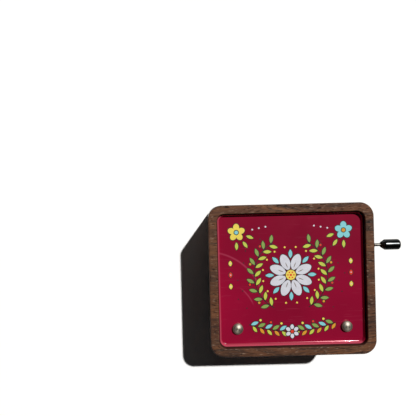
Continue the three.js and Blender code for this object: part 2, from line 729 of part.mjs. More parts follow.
// Arm: a faceted hub on the shaft and a tapering strap out to the knob's pin, with chamfered
// edges. It points up at rest.
function makeArm() {
  const hubRadius = armHubWidth / 2;
  const tipRadius = armTipWidth / 2;
  const lean = Math.asin((hubRadius - tipRadius) / armLength);
  const outline = new THREE.Shape();
  outline.absarc(0, 0, hubRadius - armChamfer, Math.PI - lean, 2 * Math.PI + lean, false);
  outline.absarc(0, armLength, tipRadius - armChamfer, lean, Math.PI - lean, false);
  const depth = armStrapHeight - 2 * armChamfer;
  const strap = new THREE.ExtrudeGeometry(outline, {
    depth,
    curveSegments: 6,
    bevelSize: armChamfer,
    bevelThickness: armChamfer,
    bevelSegments: 1,
  });
  strap.rotateX(Math.PI / 2).rotateZ(Math.PI / 2).translate(armInnerX + armChamfer, 0, 0);
  const hubTop = armInnerX + armHubHeight;
  const profile = [
    [0, armInnerX],
    [hubRadius - armChamfer, armInnerX],
    [hubRadius, armInnerX + armChamfer],
    [hubRadius, hubTop - armChamfer],
    [hubRadius - armChamfer, hubTop],
    [0, hubTop],
  ];
  const hub = turned("x", profile, [0, 0, 0], 8);
  const shaftHole = shaftDiameter + 2 * pressGap;
  const pinHole = pinDiameter + 2 * pressGap;
  const gripEnd = armInnerX + shaftGrip + pressGap;
  const strapEnd = armInnerX + armStrapHeight + overrun;
  return solidOf(strap)
    .add(hub)
    .subtract(bar("x", shaftHole, armInnerX - overrun, gripEnd, [0, 0, 0]))
    .subtract(bar("x", pinHole, armInnerX - overrun, strapEnd, [0, 0, armLength], smallSides));
}

// Pin: riveted in the arm's tip, and the knob turns on its far end.
function makePin() {
  const end = armStrapHeight + pinNeck + pinReach;
  return bar("x", pinDiameter, armInnerX, armInnerX + end, [0, 0, armLength], smallSides);
}

// Knob: a cone behind a plain cylinder with a rounded end, bored for its pin.
function makeKnob() {
  const from = armInnerX + armStrapHeight + pinNeck;
  const radius = knobDiameter / 2;
  const boreRadius = pinDiameter / 2 + runningGap;
  const end = from + knobLength;
  const boreEnd = from + pinReach + seatGap;
  const profile = [
    [0, boreEnd],
    [boreRadius, boreEnd],
    [boreRadius, from],
    [knobConeDiameter / 2, from],
    [radius, from + knobConeLength],
    [radius, end - knobEndRadius],
  ];
  for (let step = 1; step <= edgeSteps; step++) {
    const angle = (step / edgeSteps) * (Math.PI / 2);
    const drop = knobEndRadius * (1 - Math.cos(angle));
    profile.push([radius - drop, end - knobEndRadius * (1 - Math.sin(angle))]);
  }
  profile.push([0, end]);
  return turned("x", profile, [0, 0, 0], smallSides);
}

// Case and movement frame
addPiece(musicBox, "case", makeCase(), walnut);
addPiece(musicBox, "tray_cover", makeTray(), redPaint);
addPiece(musicBox, "mount_screw_left", makeMountScrew(-1), steel);
addPiece(musicBox, "mount_screw_right", makeMountScrew(1), steel);
addPiece(musicBox, "wall_bush", makeBush(), nickel);
addPiece(musicBox, "bedplate", makeBedplate(), castZinc);
addPiece(musicBox, "gear_bridge", makeBridge(), castZinc);
addPiece(musicBox, "bridge_screw_left", makeBracketScrew(bridgeScrews[0]), steel);
addPiece(musicBox, "bridge_screw_right", makeBracketScrew(bridgeScrews[1]), steel);
addPiece(musicBox, "tail_bracket", makeTailBracket(), castZinc);
addPiece(musicBox, "tail_screw_left", makeBracketScrew(tailScrews[0]), steel);
addPiece(musicBox, "tail_screw_right", makeBracketScrew(tailScrews[1]), steel);
addPiece(musicBox, "comb", makeComb(), steel);
addPiece(musicBox, "comb_screw_left", makeCombScrew(combScrews[0]), steel);
addPiece(musicBox, "comb_screw_right", makeCombScrew(combScrews[1]), steel);

// Everything that turns with the arbor, on the arbor's line
const cylinderGroup = new THREE.Group();
cylinderGroup.position.set(cylinderX, 0, cylinderZ);
addPiece(cylinderGroup, "cylinder", makeCylinder(), brass);
const plugWidth = wheelWidth / 2;
addPiece(cylinderGroup, "cylinder_plug_tail", makePlug(cylinderTailY, cylinderTailY + plugWidth), castZinc);
addPiece(cylinderGroup, "cylinder_plug_gear", makePlug(cylinderGearY - plugWidth, cylinderGearY), castZinc);
addPiece(cylinderGroup, "cylinder_arbor", makeArbor(), steel);
addPiece(cylinderGroup, "worm_wheel", makeWheel(), brass);
musicBox.add(cylinderGroup);

// Everything that turns with the crank, on the shaft's line
const crankGroup = new THREE.Group();
crankGroup.position.set(0, shaftY, shaftZ);
addPiece(crankGroup, "crank_shaft", makeShaft(), steel);
addPiece(crankGroup, "worm", makeWorm(), steel);
addPiece(crankGroup, "shaft_clip", makeClip(), steel);
addPiece(crankGroup, "crank_arm", makeArm(), darkNickel);
addPiece(crankGroup, "knob_pin", makePin(), darkNickel);
musicBox.add(crankGroup);

// The knob, on its pin's line
const knobGroup = new THREE.Group();
knobGroup.position.set(0, 0, armLength);
addPiece(knobGroup, "crank_knob", makeKnob(), darkNickel);
crankGroup.add(knobGroup);

export default musicBox;
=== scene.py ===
import math

import bmesh
import bpy
from mathutils import Matrix, Vector


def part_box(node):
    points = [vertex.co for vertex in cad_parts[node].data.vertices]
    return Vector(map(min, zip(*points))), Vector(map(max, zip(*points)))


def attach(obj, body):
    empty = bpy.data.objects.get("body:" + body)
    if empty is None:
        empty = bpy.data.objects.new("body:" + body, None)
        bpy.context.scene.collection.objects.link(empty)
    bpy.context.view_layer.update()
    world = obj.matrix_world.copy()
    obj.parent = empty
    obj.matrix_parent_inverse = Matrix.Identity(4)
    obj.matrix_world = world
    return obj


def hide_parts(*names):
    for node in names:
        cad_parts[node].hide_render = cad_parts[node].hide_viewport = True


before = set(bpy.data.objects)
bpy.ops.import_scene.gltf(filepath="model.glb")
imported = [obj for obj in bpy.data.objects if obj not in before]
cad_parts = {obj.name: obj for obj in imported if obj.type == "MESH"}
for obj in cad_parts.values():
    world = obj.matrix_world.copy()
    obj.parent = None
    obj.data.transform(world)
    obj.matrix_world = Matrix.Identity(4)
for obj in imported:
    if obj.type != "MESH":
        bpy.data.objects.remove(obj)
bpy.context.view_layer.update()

# Case
# One block of walnut, its grain along the crank's line, routed out from the front and rounded over
# at the back. The outside has a satin varnish. The front rim and the inside are only oiled, so
# their pores stay open. Meshes are worked in millimetres and scaled down as they are finished.
mm = 0.001
case_corner, back_round, front_break, rim_break, edge_shade_start = 5.4, 4.8, 0.6, 0.4, 0.05
rim_wall, rim_corner, tray_gap = 3.4, 3.0, 0.2
side_wall, chamber_corner, back_thickness = 5.1, 4.2, 5.0
bush_hole, overrun = 6.4, 1
corner_steps, drill_steps = 14, 48
pith = (0, 62, -6)


def box_mm(node):
    """A piece's lowest and highest corner in the frame, in millimetres."""
    return [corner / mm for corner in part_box(node)]


def middle_mm(node):
    """The middle of a piece's box in the frame, in millimetres."""
    low, high = box_mm(node)
    return (low + high) / 2


def tone(code):
    """A paint chart's six figures as the colour that a shader wants."""
    parts = [int(code[i : i + 2], 16) / 255 for i in (0, 2, 4)]
    return (*[p / 12.92 if p <= 0.04045 else ((p + 0.055) / 1.055) ** 2.4 for p in parts], 1.0)


def feed(tree, sockets, values):
    """Sets sockets by name or number, each to a plain value or to what another node gives."""
    for label, value in values.items():
        socket = sockets[label.replace("_", " ") if isinstance(label, str) else label]
        if isinstance(value, bpy.types.NodeSocket):
            tree.links.new(value, socket)
        else:
            socket.default_value = value


def put(tree, kind, feeds=None, **settings):
    """One shader node, with what its sockets take."""
    made = tree.nodes.new("ShaderNode" + kind)
    for name, value in settings.items():
        setattr(made, name, value)
    feed(tree, made.inputs, feeds or {})
    return made


def work(tree, operation, *values):
    """A sum on numbers, or on masks."""
    return put(tree, "Math", dict(enumerate(values)), operation=operation).outputs[0]


def times(tree, one, other):
    """Two numbers or masks multiplied."""
    return work(tree, "MULTIPLY", one, other)


def uneven(tree, base, mask, spread):
    """A plain value that rises by this spread where the mask is full."""
    return work(tree, "ADD", base, times(tree, mask, spread))


def on_places(tree, operation, *values, gives="Vector"):
    """A sum on places, or the number that it gives."""
    return put(tree, "VectorMath", dict(enumerate(values)), operation=operation).outputs[gives]


def shades(tree, amount, *stops):
    """Colours laid out along a scale from 0 to 1, and the one at this amount."""
    ramp = put(tree, "ValToRGB", {0: amount})
    scale = ramp.color_ramp.elements
    while len(scale) < len(stops):
        scale.new(1.0)
    for mark, (spot, colour) in zip(scale, stops):
        mark.position, mark.color = spot, colour
    return ramp.outputs[0]


def stain(tree, mask, under, over, strength=1.0):
    """One colour over another where the mask says, up to this strength."""
    feeds = {0: times(tree, mask, strength), 6: under, 7: over}
    return put(tree, "Mix", feeds, data_type="RGBA", clamp_factor=True).outputs[2]


def in_mm(tree, stretch=(1, 1, 1), shift=(0, 0, 0)):
    """Places on the object in millimetres, squeezed along each axis and moved."""
    where = put(tree, "TexCoord").outputs["Object"]
    feeds = {"Vector": where, "Scale": [s / mm for s in stretch], "Location": shift}
    return put(tree, "Mapping", feeds).outputs[0]


def mottle(tree, where, scale, detail=2.0, roughness=0.5):
    """A soft random pattern from 0 to 1."""
    feeds = {"Vector": where, "Scale": scale, "Detail": detail, "Roughness": roughness}
    return put(tree, "TexNoise", feeds).outputs[0]


def between(tree, value, low, high):
    """0 up to the low value, 1 from the high one on, and smooth in between."""
    feeds = {0: value, 1: low, 2: high}
    return put(tree, "MapRange", feeds, interpolation_type="SMOOTHSTEP").outputs[0]


def relief(tree, height, depth_mm, strength):
    """A bump whose highest and lowest points lie this far apart."""
    feeds = {"Height": height, "Distance": depth_mm * mm, "Strength": strength}
    return put(tree, "Bump", feeds).outputs[0]


def group(name, gives, takes=()):
    """An empty node group with its named sockets, and its two ends."""
    tree = bpy.data.node_groups.new(name, "ShaderNodeTree")
    for label, kind, value in takes:
        socket = tree.interface.new_socket(label, in_out="INPUT", socket_type="NodeSocket" + kind)
        socket.default_value = value
    for label, kind in gives:
        tree.interface.new_socket(label, in_out="OUTPUT", socket_type="NodeSocket" + kind)
    ends = tree.nodes.new("NodeGroupInput"), tree.nodes.new("NodeGroupOutput")
    return tree, ends[0].outputs, ends[1].inputs


def place(tree, which, **values):
    """A node group set into a material, with its own values."""
    return put(tree, "Group", values, node_tree=which).outputs


def finish_of(name, **plain):
    """A new material with its node tree, and its shader's sockets, set to these plain values."""
    material = bpy.data.materials.new(name)
    material.use_nodes = True
    tree = material.node_tree
    surface = tree.nodes["Principled BSDF"].inputs
    feed(tree, surface, plain)
    return material, tree, surface


def wire_up(tree, surface, colour, roughness, normal):
    """Gives a surface its colour, its roughness and its relief."""
    feed(tree, surface, {"Base Color": colour, "Roughness": roughness, "Normal": normal})


def walnut_grain():
    """Year rings, fibres and pores of walnut, sawn beside the tree's pith with the grain along x."""
    out = [("Colour", "Color"), ("Pores", "Float"), ("Height", "Float")]
    tree, takes, gives = group("walnut grain", out, [("Streaks", "Float", 1.0)])
    straight = in_mm(tree)
    feeds = {"Vector": in_mm(tree, (0.5, 1, 1)), "Scale": 0.035, "Detail": 1.0}
    sway = on_places(tree, "SUBTRACT", put(tree, "TexNoise", feeds).outputs[1], (0.5, 0.5, 0.5))
    swayed = on_places(tree, "ADD", straight, on_places(tree, "MULTIPLY", sway, (0, 14, 14)))
    from_pith = on_places(tree, "SUBTRACT", swayed, pith)
    across = on_places(tree, "MULTIPLY", from_pith, (0, 1, 1))
    year = on_places(tree, "LENGTH", across, gives="Value")
    squeezed = on_places(tree, "MULTIPLY", from_pith, (0.05, 1, 0.3))
    parts = put(tree, "SeparateXYZ", {0: squeezed}).outputs
    along = put(tree, "CombineXYZ", {0: parts[0], 1: year, 2: parts[2]}).outputs[0]
    figure = mottle(tree, along, 0.2, 3.0, 0.55)
    lines = mottle(tree, along, 1.1, 5.0, 0.65)
    fibres = mottle(tree, on_places(tree, "MULTIPLY", swayed, (0.09, 1, 1)), 2.4, 3.0, 0.6)
    dashes = mottle(tree, on_places(tree, "MULTIPLY", swayed, (0.2, 1, 1)), 2.1, 2.0, 0.5)
    blotch = mottle(tree, straight, 0.03, 1.0)
    paler = (0.58, tone("663e28")), (0.72, tone("8d5f41"))
    body = shades(tree, figure, (0.3, tone("2b150f")), (0.45, tone("4a2a1c")), *paler)
    dark = times(tree, between(tree, lines, 0.48, 0.62), takes["Streaks"])
    streaked = stain(tree, dark, body, tone("1e0f0c"))
    warm = stain(tree, between(tree, blotch, 0.5, 0.75), streaked, tone("6a3a20"), 0.35)
    fibrous = stain(tree, between(tree, fibres, 0.35, 0.75), warm, tone("785038"), 0.5)
    pores = between(tree, dashes, 0.6, 0.68)
    porous = stain(tree, times(tree, pores, takes["Streaks"]), fibrous, tone("170b09"), 0.85)
    height = work(tree, "SUBTRACT", times(tree, fibres, 0.35), pores)
    feed(tree, gives, {"Colour": porous, "Pores": pores, "Height": height})
    return tree


walnut = walnut_grain()


def varnished_walnut():
    """The outside, deeper in tone under a satin coat with faint smears."""
    coat = {"Coat_Weight": 0.45, "Coat_Roughness": 0.18}
    material, tree, surface = finish_of("walnut, varnished", Specular_IOR_Level=0.35, **coat)
    grain = place(tree, walnut, Streaks=0.5)
    smears = mottle(tree, in_mm(tree), 0.12, 3.0)
    feeds = {"Hue": 0.494, "Saturation": 1.12, "Value": 0.66, "Color": grain["Colour"]}
    deeper = put(tree, "HueSaturation", feeds).outputs[0]
    grooves = relief(tree, grain["Height"], 0.05, 0.6)
    wire_up(tree, surface, deeper, uneven(tree, 0.4, smears, 0.2), grooves)
    return material


def oiled_walnut():
    """The sanded rim and the inside, with open pores and pale flecks, and painted shade over the rounded
    front edge and the faces below it.
    """
    material, tree, surface = finish_of("walnut, oiled", Specular_IOR_Level=0.3)
    grain = place(tree, walnut)
    sanding = mottle(tree, in_mm(tree, (1, 0.3, 1)), 3.0, 3.0)
    flecks = between(tree, mottle(tree, in_mm(tree, (0.22, 1, 1)), 2.0, 3.0, 0.6), 0.56, 0.72)
    feeds = {"Hue": 0.504, "Saturation": 1.05, "Value": 0.84, "Color": grain["Colour"]}
    paler = put(tree, "HueSaturation", feeds).outputs[0]
    dusty = stain(tree, between(tree, sanding, 0.45, 0.8), paler, tone("563826"), 0.3)
    flecked = stain(tree, flecks, dusty, tone("a98f7b"), 0.5)
    height = put(tree, "SeparateXYZ", {0: in_mm(tree)}).outputs[2]
    # Painted shade: darker over the lower part of the rounded front edge, the rim's inner walls and the
    # inside.
    edge = between(tree, height, case_thickness - edge_shade_start, case_thickness - front_break / 2)
    edge_shaded = stain(tree, edge, flecked, tone("2a130d"), 0.7)
    grooves = relief(tree, grain["Height"], 0.12, 0.8)
    wire_up(tree, surface, edge_shaded, uneven(tree, 0.7, grain["Pores"], 0.2), grooves)
    return material


def bevel(bm, geom, offset, steps, affect="EDGES", material=-1, clamp=False):
    """Edges or corners cut or rounded to this size."""
    bmesh.ops.bevel(
        bm, geom=geom, offset=offset, offset_type="OFFSET", affect=affect, segments=steps,
        profile=0.5, material=material, clamp_overlap=clamp,
    )


def rounded_ring(bm, half_x, half_y, corner, z):
    """A flat rectangle with round corners, as one face."""
    known = set(bm.faces)
    made = bmesh.ops.create_grid(bm, x_segments=1, y_segments=1, size=1)
    bmesh.ops.scale(bm, vec=(half_x, half_y, 1), verts=made["verts"])
    bmesh.ops.translate(bm, vec=(0, 0, z), verts=made["verts"])
    bevel(bm, made["verts"], corner, corner_steps, affect="VERTICES")
    return next(face for face in bm.faces if face not in known)


def wall_up(bm, rings):
    """One closed shell through a stack of rings. It gives back the edges of each ring."""
    loops = [list(face.edges) for face in rings]
    bmesh.ops.delete(bm, geom=rings[1:-1], context="FACES_ONLY")
    for low, high in zip(loops, loops[1:]):
        bmesh.ops.bridge_loops(bm, edges=low + high)
    bmesh.ops.recalc_face_normals(bm, faces=bm.faces)
    return loops


def mesh_of(name, bm):
    """The worked mesh at its real size, in an object of its own."""
    bmesh.ops.scale(bm, vec=(mm, mm, mm), verts=bm.verts)
    mesh = bpy.data.meshes.new(name)
    bm.to_mesh(mesh)
    bm.free()
    piece = bpy.data.objects.new(name, mesh)
    bpy.context.scene.collection.objects.link(piece)
    return piece


def run_along_x(line, low, high):
    """The two ends of a run along x on this line."""
    return (low, line.y, line.z), (high, line.y, line.z)


def drill(across, *runs):
    """Round bars to cut holes with, each from one point to another."""
    bm = bmesh.new()
    for run in runs:
        low, high = Vector(run[0]), Vector(run[1])
        turn = Vector((0, 0, 1)).rotation_difference(high - low).to_matrix().to_4x4()
        bmesh.ops.create_cone(
            bm, cap_ends=True, segments=drill_steps, radius1=across / 2, radius2=across / 2,
            depth=(high - low).length, matrix=Matrix.Translation((low + high) / 2) @ turn,
        )
    return mesh_of("drill", bm)


def cut_away(piece, *tools):
    """Cuts each tool out of the piece for good."""
    for tool in tools:
        cut = piece.modifiers.new("cut", "BOOLEAN")
        cut.operation, cut.solver, cut.object = "DIFFERENCE", "EXACT", tool
    seen = piece.evaluated_get(bpy.context.evaluated_depsgraph_get())
    worked = bpy.data.meshes.new_from_object(seen)
    piece.modifiers.clear()
    piece.data = worked
    for tool in tools:
        bpy.data.objects.remove(tool)


def fit(piece, body, slot, *finishes, stands_for=(), sharp=32):
    """Gives a piece its finishes, its soft shading and its body; the slot is not used."""
    which = [face.material_index for face in piece.data.polygons]
    piece.data.materials.clear()
    for finish in finishes:
        piece.data.materials.append(finish)
    piece.data.polygons.foreach_set("material_index", which)
    piece.data.shade_smooth()
    piece.data.set_sharp_from_angle(angle=math.radians(sharp))
    even = piece.modifiers.new("even shading", "WEIGHTED_NORMAL")
    even.keep_sharp = True
    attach(piece, body)
    if stands_for:
        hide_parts(*stands_for)


case_x, case_y, case_thickness = box_mm("case")[1]
tray_low, tray_high = box_mm("tray_cover")
shaft_line = middle_mm("crank_shaft")
ledge = tray_low.z - tray_gap
rim_x, rim_y = case_x - rim_wall, case_y - rim_wall
chamber_x, chamber_y = case_x - side_wall, case_y - side_wall
bm = bmesh.new()
rings = [
    rounded_ring(bm, case_x, case_y, case_corner, 0),
    rounded_ring(bm, case_x, case_y, case_corner, case_thickness),
    rounded_ring(bm, rim_x, rim_y, rim_corner, case_thickness),
    rounded_ring(bm, rim_x, rim_y, rim_corner, ledge),
    rounded_ring(bm, chamber_x, chamber_y, chamber_corner, ledge),
    rounded_ring(bm, chamber_x, chamber_y, chamber_corner, back_thickness),
]
back, front, rim = wall_up(bm, rings)[:3]
bevel(bm, rim, rim_break, steps=4)
bevel(bm, front, front_break, steps=5)
bevel(bm, back, back_round, steps=12)
for face in bm.faces:
    middle = face.calc_center_median()
    inside = abs(middle.x) < rim_x + rim_break and abs(middle.y) < rim_y + rim_break
    routed = inside and middle.z > back_thickness / 2
    face.material_index = int(routed or middle.z > case_thickness - front_break)
case = mesh_of("case_walnut", bm)
cut_away(case, drill(bush_hole, run_along_x(shaft_line, chamber_x - overrun, case_x + overrun)))
fit(case, "box", "walnut", varnished_walnut(), oiled_walnut(), stands_for=["case"])

# Tray cover
# Pressed steel sheet let into the front of the case: a flat floor, a tight bend all round and a low
# leaning wall that flares at its lip. Baked crimson enamel, with a painted highlight of pale pink up the
# bend and the wall, left off near the crank's side, which lies in shade.
tray_corner, tray_sheet, tray_bend, tray_lean = 2.8, 0.35, 0.75, 18
lip_hollow, lip_turn, lip_reach, lip_below_solid = 0.05, 50, 0.1, 0.65
punched_hole, lit_bend_heights, shaded_side_insets = 2.8, (0.03, 0.4), (1.0, 1.8)
tray_floor = tray_low.z + tray_sheet
tray_edge = tray_high.z - lip_below_solid
# Each wipe mark's arc of painted sheen: its centre, radius and width, its strongest spot, and how far
# from there it shows
wipe_sheen_arcs = [((-33, -11), 22.2, 0.55, (-20, 4), 19), ((-30, -16), 16.3, 0.4, (-17, -6.3), 5)]


def surface_wear():
    """Smudges, and hair scratches that lie in all directions."""
    out = [("Smudges", "Float"), ("Scratches", "Float")]
    tree, takes, gives = group("surface wear", out, [("Scale", "Float", 1.0)])
    feeds = {0: in_mm(tree), "Scale": takes["Scale"]}
    grown = put(tree, "VectorMath", feeds, operation="SCALE").outputs[0]
    scratches = 0.0
    for turn in (0.3, 1.5, 2.4):
        feeds = {"Vector": grown, "Rotation": (turn, turn * 1.7, turn), "Scale": (0.02, 1, 1)}
        hairs = mottle(tree, put(tree, "Mapping", feeds).outputs[0], 3.4, 2.0)
        scratches = work(tree, "MAXIMUM", scratches, between(tree, hairs, 0.7, 0.74))
    feed(tree, gives, {"Smudges": mottle(tree, grown, 0.16, 4.0, 0.6), "Scratches": scratches})
    return tree


wear = surface_wear()


def wipe_sheen_arc(tree, centre, radius, width, strongest, reach):
    """A faint pale arc of painted sheen along the swirl that a cloth leaves as it turns about the wiping
    hand, strongest at one spot.
    """
    from_hand, from_spot = [
        on_places(tree, "DISTANCE", in_mm(tree), (*point, tray_floor), gives="Value")
        for point in (centre, strongest)
    ]
    off = work(tree, "ABSOLUTE", work(tree, "SUBTRACT", from_hand, radius))
    return times(tree, between(tree, off, width, 0.0), between(tree, from_spot, reach, reach / 3))


def crimson_enamel():
    """Glossy crimson with soft clouds, a painted highlight where the sheet rises, scratches, and painted
    sheen along wipe marks.
    """
    coat = {"Coat_Weight": 0.3, "Coat_Roughness": 0.05}
    material, tree, surface = finish_of("crimson enamel", Metallic=0.15, **coat)
    marks = place(tree, wear)
    cloud = mottle(tree, in_mm(tree), 0.035, 2.0)
    # The base tone grows lighter towards the lower left.
    lighter_to_lower_left = on_places(tree, "DOT_PRODUCT", in_mm(tree), (-0.0015, -0.005, 0), gives="Value")
    thick = stain(tree, work(tree, "ADD", cloud, lighter_to_lower_left), tone("760b27"), tone("a10e37"))
    parts = put(tree, "SeparateXYZ", {0: in_mm(tree)}).outputs
    # Painted highlight: pale pink up the bend and the wall, where they catch the light, left off near
    # the crank's side, where the wall lies in shade.
    lit_bend = between(tree, parts[2], *[tray_floor + rise for rise in lit_bend_heights])
    clear_of_side_shade = between(tree, parts[0], *[tray_high.x - inset for inset in shaded_side_insets])
    highlighted = stain(tree, times(tree, lit_bend, clear_of_side_shade), thick, tone("d0566c"), 0.85)
    # Painted sheen: pale arcs where the wipe marks in the gloss catch the light.
    wipe_sheen = work(tree, "MAXIMUM", *[wipe_sheen_arc(tree, *one) for one in wipe_sheen_arcs])
    scratched = times(tree, marks["Scratches"], 0.15)
    worn = work(tree, "MAXIMUM", scratched, times(tree, wipe_sheen, 0.3))
    scratches_and_sheen = stain(tree, worn, highlighted, tone("d05c7a"))
    peel = relief(tree, mottle(tree, in_mm(tree), 1.1, 1.0), 0.006, 0.5)
    wire_up(tree, surface, scratches_and_sheen, uneven(tree, 0.16, marks["Smudges"], 0.06), peel)
    return material


def arc(centre, radius, low, high, steps=8):
    """Points of an outline round a centre, between two angles."""
    turns = [math.radians(low + (high - low) * step / steps) for step in range(steps + 1)]
    return [(centre[0] + radius * math.cos(turn), centre[1] + radius * math.sin(turn)) for turn in turns]


lean, flare = math.radians(tray_lean), math.radians(lip_turn)
up_wall = Vector((-math.sin(lean), math.cos(lean)))
into_tray = Vector((math.cos(lean), math.sin(lean)))
lip_end = lip_reach * Vector((-math.sin(flare), math.cos(flare)))
bend_height = tray_low.z + tray_bend
lip_height = tray_edge - (lip_hollow + tray_sheet) * math.sin(flare) - lip_end.y
turned_up = (tray_bend + lip_hollow) * into_tray
climb = (lip_height - bend_height + turned_up.y) / up_wall.y
bend_inset = turned_up.x - climb * up_wall.x - lip_hollow * math.cos(flare) - lip_end.x
bend_centre = Vector((bend_inset, bend_height))
lip_centre = bend_centre - turned_up + climb * up_wall


def face_of_sheet(bend_radius, lip_radius):
    """One face of the sheet from its floor to the end of its lip, as (inset, height) points."""
    curve = arc(bend_centre, bend_radius, 270, 180 + tray_lean)
    curve += arc(lip_centre, lip_radius, tray_lean, lip_turn, 6)
    return curve + [(curve[-1][0] + lip_end.x, curve[-1][1] + lip_end.y)]


profile = face_of_sheet(tray_bend, lip_hollow)
profile += face_of_sheet(tray_bend - tray_sheet, lip_hollow + tray_sheet)[::-1]
bm = bmesh.new()
rings = []
for inset, height in profile:
    sides = tray_high.x - inset, tray_high.y - inset
    rings.append(rounded_ring(bm, *sides, tray_corner - inset, height))
wall_up(bm, rings)
tray = mesh_of("tray_enamelled", bm)
mount_screws = {side: middle_mm("mount_screw_" + side) for side in ("left", "right")}
punch_runs = [
    ((at.x, at.y, tray_low.z - overrun), (at.x, at.y, tray_floor + overrun))
    for at in mount_screws.values()
]
cut_away(tray, drill(punched_hole, *punch_runs))
fit(tray, "box", "red_enamel", crimson_enamel(), stands_for=["tray_cover"])

# Print
# Screen-printed inks on the tray's floor, a few hundredths of a millimetre thick: black first,
# then the colours, then the small dots. The design is a plain folk one of a rosette in a wreath,
# two sprays of flowers, diamonds and a garland of leaves.
inks = {
    "black": "120c10", "white": "c9cad3", "yellow": "dfc950", "teal": "7cc3ca", "lime": "b6c046",
    "leaf": "7d9a48", "grey": "7c7268", "vermilion": "cf3318", "amber": "cb8c22",
}
ink_order = list(inks)
ink_coat, black_edge = 0.018, 0.28
faces_per_stroke, stroke_levels = 22, 7
# Each stroke: its length and width, how pointed its near and far ends are, and how far out it lies
rosette_petal, petal_vein = (6.8, 3.7, 0.8, 0.1, 5.3), (2.4, 0.35, 1, 1, 4.2)
rosette_tip, diamond_shape = (3.4, 1.5, 1, 1, 8.3), (2.2, 1.4, 1, 1, 0)
wreath_leaf, corner_petal = (3.3, 1.35, 0.8, 1, 2.0), (2.9, 2.4, 0.6, 0.1, 2.0)
upper_leaf, lower_leaf = (3.1, 1.35, 0.8, 1, 1.9), (2.7, 1.2, 0.8, 1, 1.7)
knot_petal, spray_leaf = (2.0, 1.45, 0.7, 0.3, 1.75), (3.0, 1.25, 0.8, 1)
# Where the strokes stand, with angles in degrees
heart, seed_ring, bead_ring = (0.0, 1.5), 1.15, 11.1
wreath_radius, wreath_half, wreath_stem = 14.4, 62, 0.32
wreath_leaves, leaf_step, wreath_slant = 9, 14, 48
berry_radius, berry_from, berry_step, berry_size = 16.5, -40, 28, 0.95
corner_x, corner_y = 21.0, 18.6
spark_x, spark_y, spark_step, spark_fall = 9.5, 20.6, 2.6, 0.5
diamond_x, diamond_y, diamond_step = 23.6, 6.5, 4.5
swag, drop, swag_half, swag_stem = (0.0, 30.0), 50.5, 19.5, 0.35
swag_leaves, swag_from, swag_span, swag_slant = 12, 252, 36, 38
knot, knot_room, berry_rise = (0.0, -20.6), 0.9, 2.9
speck_centre, speck_reach, speck_step, golden_angle = (0.0, -1.0), 18.8, 0.12, 137.5
speck_low, speck_high, speck_side = -15.5, 16, 22.5


def printed_ink():
    """The dry, slightly uneven face of screen ink, with pinholes and a worn tone."""
    out = [("Colour", "Color"), ("Roughness", "Float"), ("Height", "Float")]
    ink = [("Ink", "Color", (0, 0, 0, 1)), ("Worn", "Float", 0.12)]
    tree, takes, gives = group("printed ink", out, ink)
    weave = mottle(tree, in_mm(tree), 7.0, 2.0)
    patch = mottle(tree, in_mm(tree, shift=(40, 11, 3)), 0.5, 3.0)
    worn = times(tree, between(tree, patch, 0.35, 0.75), takes["Worn"])
    thick = stain(tree, worn, takes["Ink"], tone("6f5f60"))
    pinholed = stain(tree, between(tree, weave, 0.62, 0.8), thick, tone("6e1c30"), 0.5)
    dry = uneven(tree, 0.45, patch, 0.15)
    feed(tree, gives, {"Colour": pinholed, "Roughness": dry, "Height": weave})
    return tree


ink_face = printed_ink()


def ink_finish(name, colour):
    """One ink of the print."""
    material, tree, surface = finish_of(name + " ink", Specular_IOR_Level=0.25)
    face = place(tree, ink_face, Ink=tone(colour))
    wire_up(tree, surface, face["Colour"], face["Roughness"], relief(tree, face["Height"], 0.01, 0.3))
    return material


def draw_out(bm, faces, by):
    """Flat faces drawn out into closed slabs."""
    drawn = bmesh.ops.extrude_face_region(bm, geom=faces, use_keep_orig=True)["geom"]
    tops = [item for item in drawn if isinstance(item, bmesh.types.BMVert)]
    bmesh.ops.translate(bm, vec=by, verts=tops)


def thicken(bm, faces, ink, coat):
    """A slab of ink on flat faces. Later coats stand higher, and strokes that meet differ a little."""
    for face in faces:
        face.material_index = ink_order.index(ink)
    level = len(bm.faces) // faces_per_stroke % stroke_levels / stroke_levels
    draw_out(bm, faces, (0, 0, ink_coat * (coat + level / 2)))


def blot(bm, at, stroke, ink, coat=2, turn=0.0, steps=20):
    """An oval stroke of ink that lies out from a turned root."""
    length, width, *points, reach = stroke
    known = set(bm.faces)
    made = bmesh.ops.create_circle(bm, cap_ends=True, segments=steps, radius=1)
    for vertex in made["verts"]:
        point = points[vertex.co.x > 0]
        vertex.co.y *= max(1 - vertex.co.x**2, 0.0) ** (0.5 * point)
    bmesh.ops.scale(bm, vec=(length / 2, width / 2, 1), verts=made["verts"])
    bmesh.ops.translate(bm, vec=(reach, 0, tray_floor), verts=made["verts"])
    spin = Matrix.Rotation(math.radians(turn), 3, "Z")
    bmesh.ops.rotate(bm, matrix=spin, verts=made["verts"])
    bmesh.ops.translate(bm, vec=(*at, 0), verts=made["verts"])
    thicken(bm, [face for face in bm.faces if face not in known], ink, coat)


def dot(width, length=None):
    """A round stroke, or an oval one."""
    return length or width, width, 0, 0, 0


def outlined(bm, at, stroke, ink, turn=0.0, coat=1):
    """A stroke of colour over a slightly larger black one."""
    grown = (stroke[0] + 2 * black_edge, stroke[1] + 2 * black_edge, *stroke[2:])
    blot(bm, at, grown, "black", coat, turn)
    blot(bm, at, stroke, ink, coat + 1, turn)


